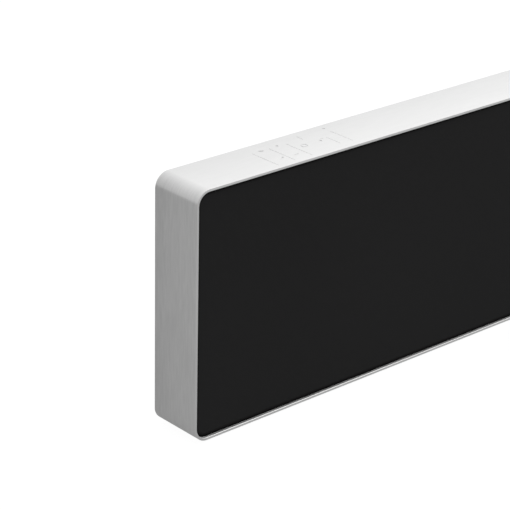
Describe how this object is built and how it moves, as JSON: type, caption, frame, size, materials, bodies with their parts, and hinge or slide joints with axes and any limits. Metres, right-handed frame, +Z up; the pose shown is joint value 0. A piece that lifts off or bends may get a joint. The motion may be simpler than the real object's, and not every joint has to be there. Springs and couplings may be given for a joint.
{
  "type": "soundbar loudspeaker",
  "caption": "Long slim wireless loudspeaker with a wrap-around aluminium band, a lift-off black cloth grille, engraved touch marks on top and a rear socket bay.",
  "frame": {"origin": "on the resting plane under the middle of the feet, half way between the front and back edges of the band", "axes": "+X to the right seen from the front, the cloth front faces -Y, +Z up"},
  "size_m": [1.1, 0.04, 0.1715],
  "materials": {
    "band_aluminium": "fine satin brushed, clear anodised",
    "grille_cloth": "tight black acoustic weave, matt",
    "black_plastic": "moulded, matt black",
    "plated_magnet": "nickel plated, lightly dulled",
    "cast_frame": "satin black paint",
    "magnet_steel": "turned and zinc plated",
    "surround_rubber": "butyl rubber, soft sheen",
    "cone_paper": "coated pulp, matt with fine fibres",
    "dome_silk": "doped silk",
    "cover_plastic": "fine spark-eroded grain, dark grey",
    "screw_steel": "black zinc",
    "hanger_steel": "zinc plated sheet",
    "circuit_board": "green solder resist",
    "heat_sink_aluminium": "extruded, plain",
    "tray_plastic": "moulded black",
    "socket_shell": "tin plated",
    "button_plastic": "satin dark grey",
    "light_pipe": "clear, frosted top",
    "ribbon_plastic": "pale polyester ribbon",
    "cable_sheath": "braided sleeve, black",
    "foot_rubber": "matt black rubber"
  },
  "bodies": {
    "cabinet": {"band": "band_aluminium", "baffle_magnet_1": "plated_magnet", "baffle_magnet_2": "plated_magnet", "baffle_magnet_3": "plated_magnet", "baffle_magnet_4": "plated_magnet", "baffle": "black_plastic", "woofer_basket_1": "cast_frame", "woofer_magnet_1": "magnet_steel", "woofer_surround_1": "surround_rubber", "woofer_basket_2": "cast_frame", "woofer_magnet_2": "magnet_steel", "woofer_surround_2": "surround_rubber", "woofer_basket_3": "cast_frame", "woofer_magnet_3": "magnet_steel", "woofer_surround_3": "surround_rubber", "woofer_basket_4": "cast_frame", "woofer_magnet_4": "magnet_steel", "woofer_surround_4": "surround_rubber", "mid_basket_1": "cast_frame", "mid_magnet_1": "magnet_steel", "mid_surround_1": "surround_rubber", "mid_basket_2": "cast_frame", "mid_magnet_2": "magnet_steel", "mid_surround_2": "surround_rubber", "tweeter_plate": "cast_frame", "rear_cover": "cover_plastic", "rear_screw_1": "screw_steel", "rear_screw_2": "screw_steel", "rear_screw_3": "screw_steel", "rear_screw_4": "screw_steel", "rear_screw_5": "screw_steel", "rear_screw_6": "screw_steel", "hanger_left": "hanger_steel", "hanger_right": "hanger_steel", "main_board": "circuit_board", "power_board": "circuit_board", "heat_sink": "heat_sink_aluminium", "socket_tray": "tray_plastic", "video_socket": "socket_shell", "power_inlet": "tray_plastic", "touch_board": "circuit_board", "status_light": "light_pipe", "touch_cable": "ribbon_plastic", "speaker_cable": "cable_sheath", "foot_left": "foot_rubber", "foot_right": "foot_rubber"},
    "grille": {"grille_cloth": "grille_cloth", "grille_frame": "black_plastic", "grille_magnet_1": "plated_magnet", "grille_magnet_2": "plated_magnet", "grille_magnet_3": "plated_magnet", "grille_magnet_4": "plated_magnet"},
    "woofer_cone_1_body": {"woofer_cone_1": "cone_paper"},
    "woofer_cone_2_body": {"woofer_cone_2": "cone_paper"},
    "woofer_cone_3_body": {"woofer_cone_3": "cone_paper"},
    "woofer_cone_4_body": {"woofer_cone_4": "cone_paper"},
    "mid_cone_1_body": {"mid_cone_1": "cone_paper"},
    "mid_cone_2_body": {"mid_cone_2": "cone_paper"},
    "tweeter_dome_body": {"tweeter_dome": "dome_silk"},
    "setup_button_body": {"setup_button": "button_plastic"}
  },
  "joints": [
    {"name": "grille_release", "type": "slide", "parent": "cabinet", "child": "grille", "axis": [0, -1, 0], "range_m": [0, 0.06]},
    {"name": "woofer_stroke_1", "type": "slide", "parent": "cabinet", "child": "woofer_cone_1_body", "axis": [0, -1, 0], "range_m": [-0.0025, 0.0025], "stiffness_N_per_m": 1500},
    {"name": "woofer_stroke_2", "type": "slide", "parent": "cabinet", "child": "woofer_cone_2_body", "axis": [0, -1, 0], "range_m": [-0.0025, 0.0025], "stiffness_N_per_m": 1500},
    {"name": "woofer_stroke_3", "type": "slide", "parent": "cabinet", "child": "woofer_cone_3_body", "axis": [0, -1, 0], "range_m": [-0.0025, 0.0025], "stiffness_N_per_m": 1500},
    {"name": "woofer_stroke_4", "type": "slide", "parent": "cabinet", "child": "woofer_cone_4_body", "axis": [0, -1, 0], "range_m": [-0.0025, 0.0025], "stiffness_N_per_m": 1500},
    {"name": "mid_stroke_1", "type": "slide", "parent": "cabinet", "child": "mid_cone_1_body", "axis": [0, -1, 0], "range_m": [-0.0015, 0.0015], "stiffness_N_per_m": 1500},
    {"name": "mid_stroke_2", "type": "slide", "parent": "cabinet", "child": "mid_cone_2_body", "axis": [0, -1, 0], "range_m": [-0.0015, 0.0015], "stiffness_N_per_m": 1500},
    {"name": "tweeter_stroke", "type": "slide", "parent": "cabinet", "child": "tweeter_dome_body", "axis": [0, -1, 0], "range_m": [-0.0003, 0.0003], "stiffness_N_per_m": 2000},
    {"name": "setup_press", "type": "slide", "parent": "cabinet", "child": "setup_button_body", "axis": [0, -1, 0], "range_m": [0, 0.0008], "stiffness_N_per_m": 800}
  ]
}
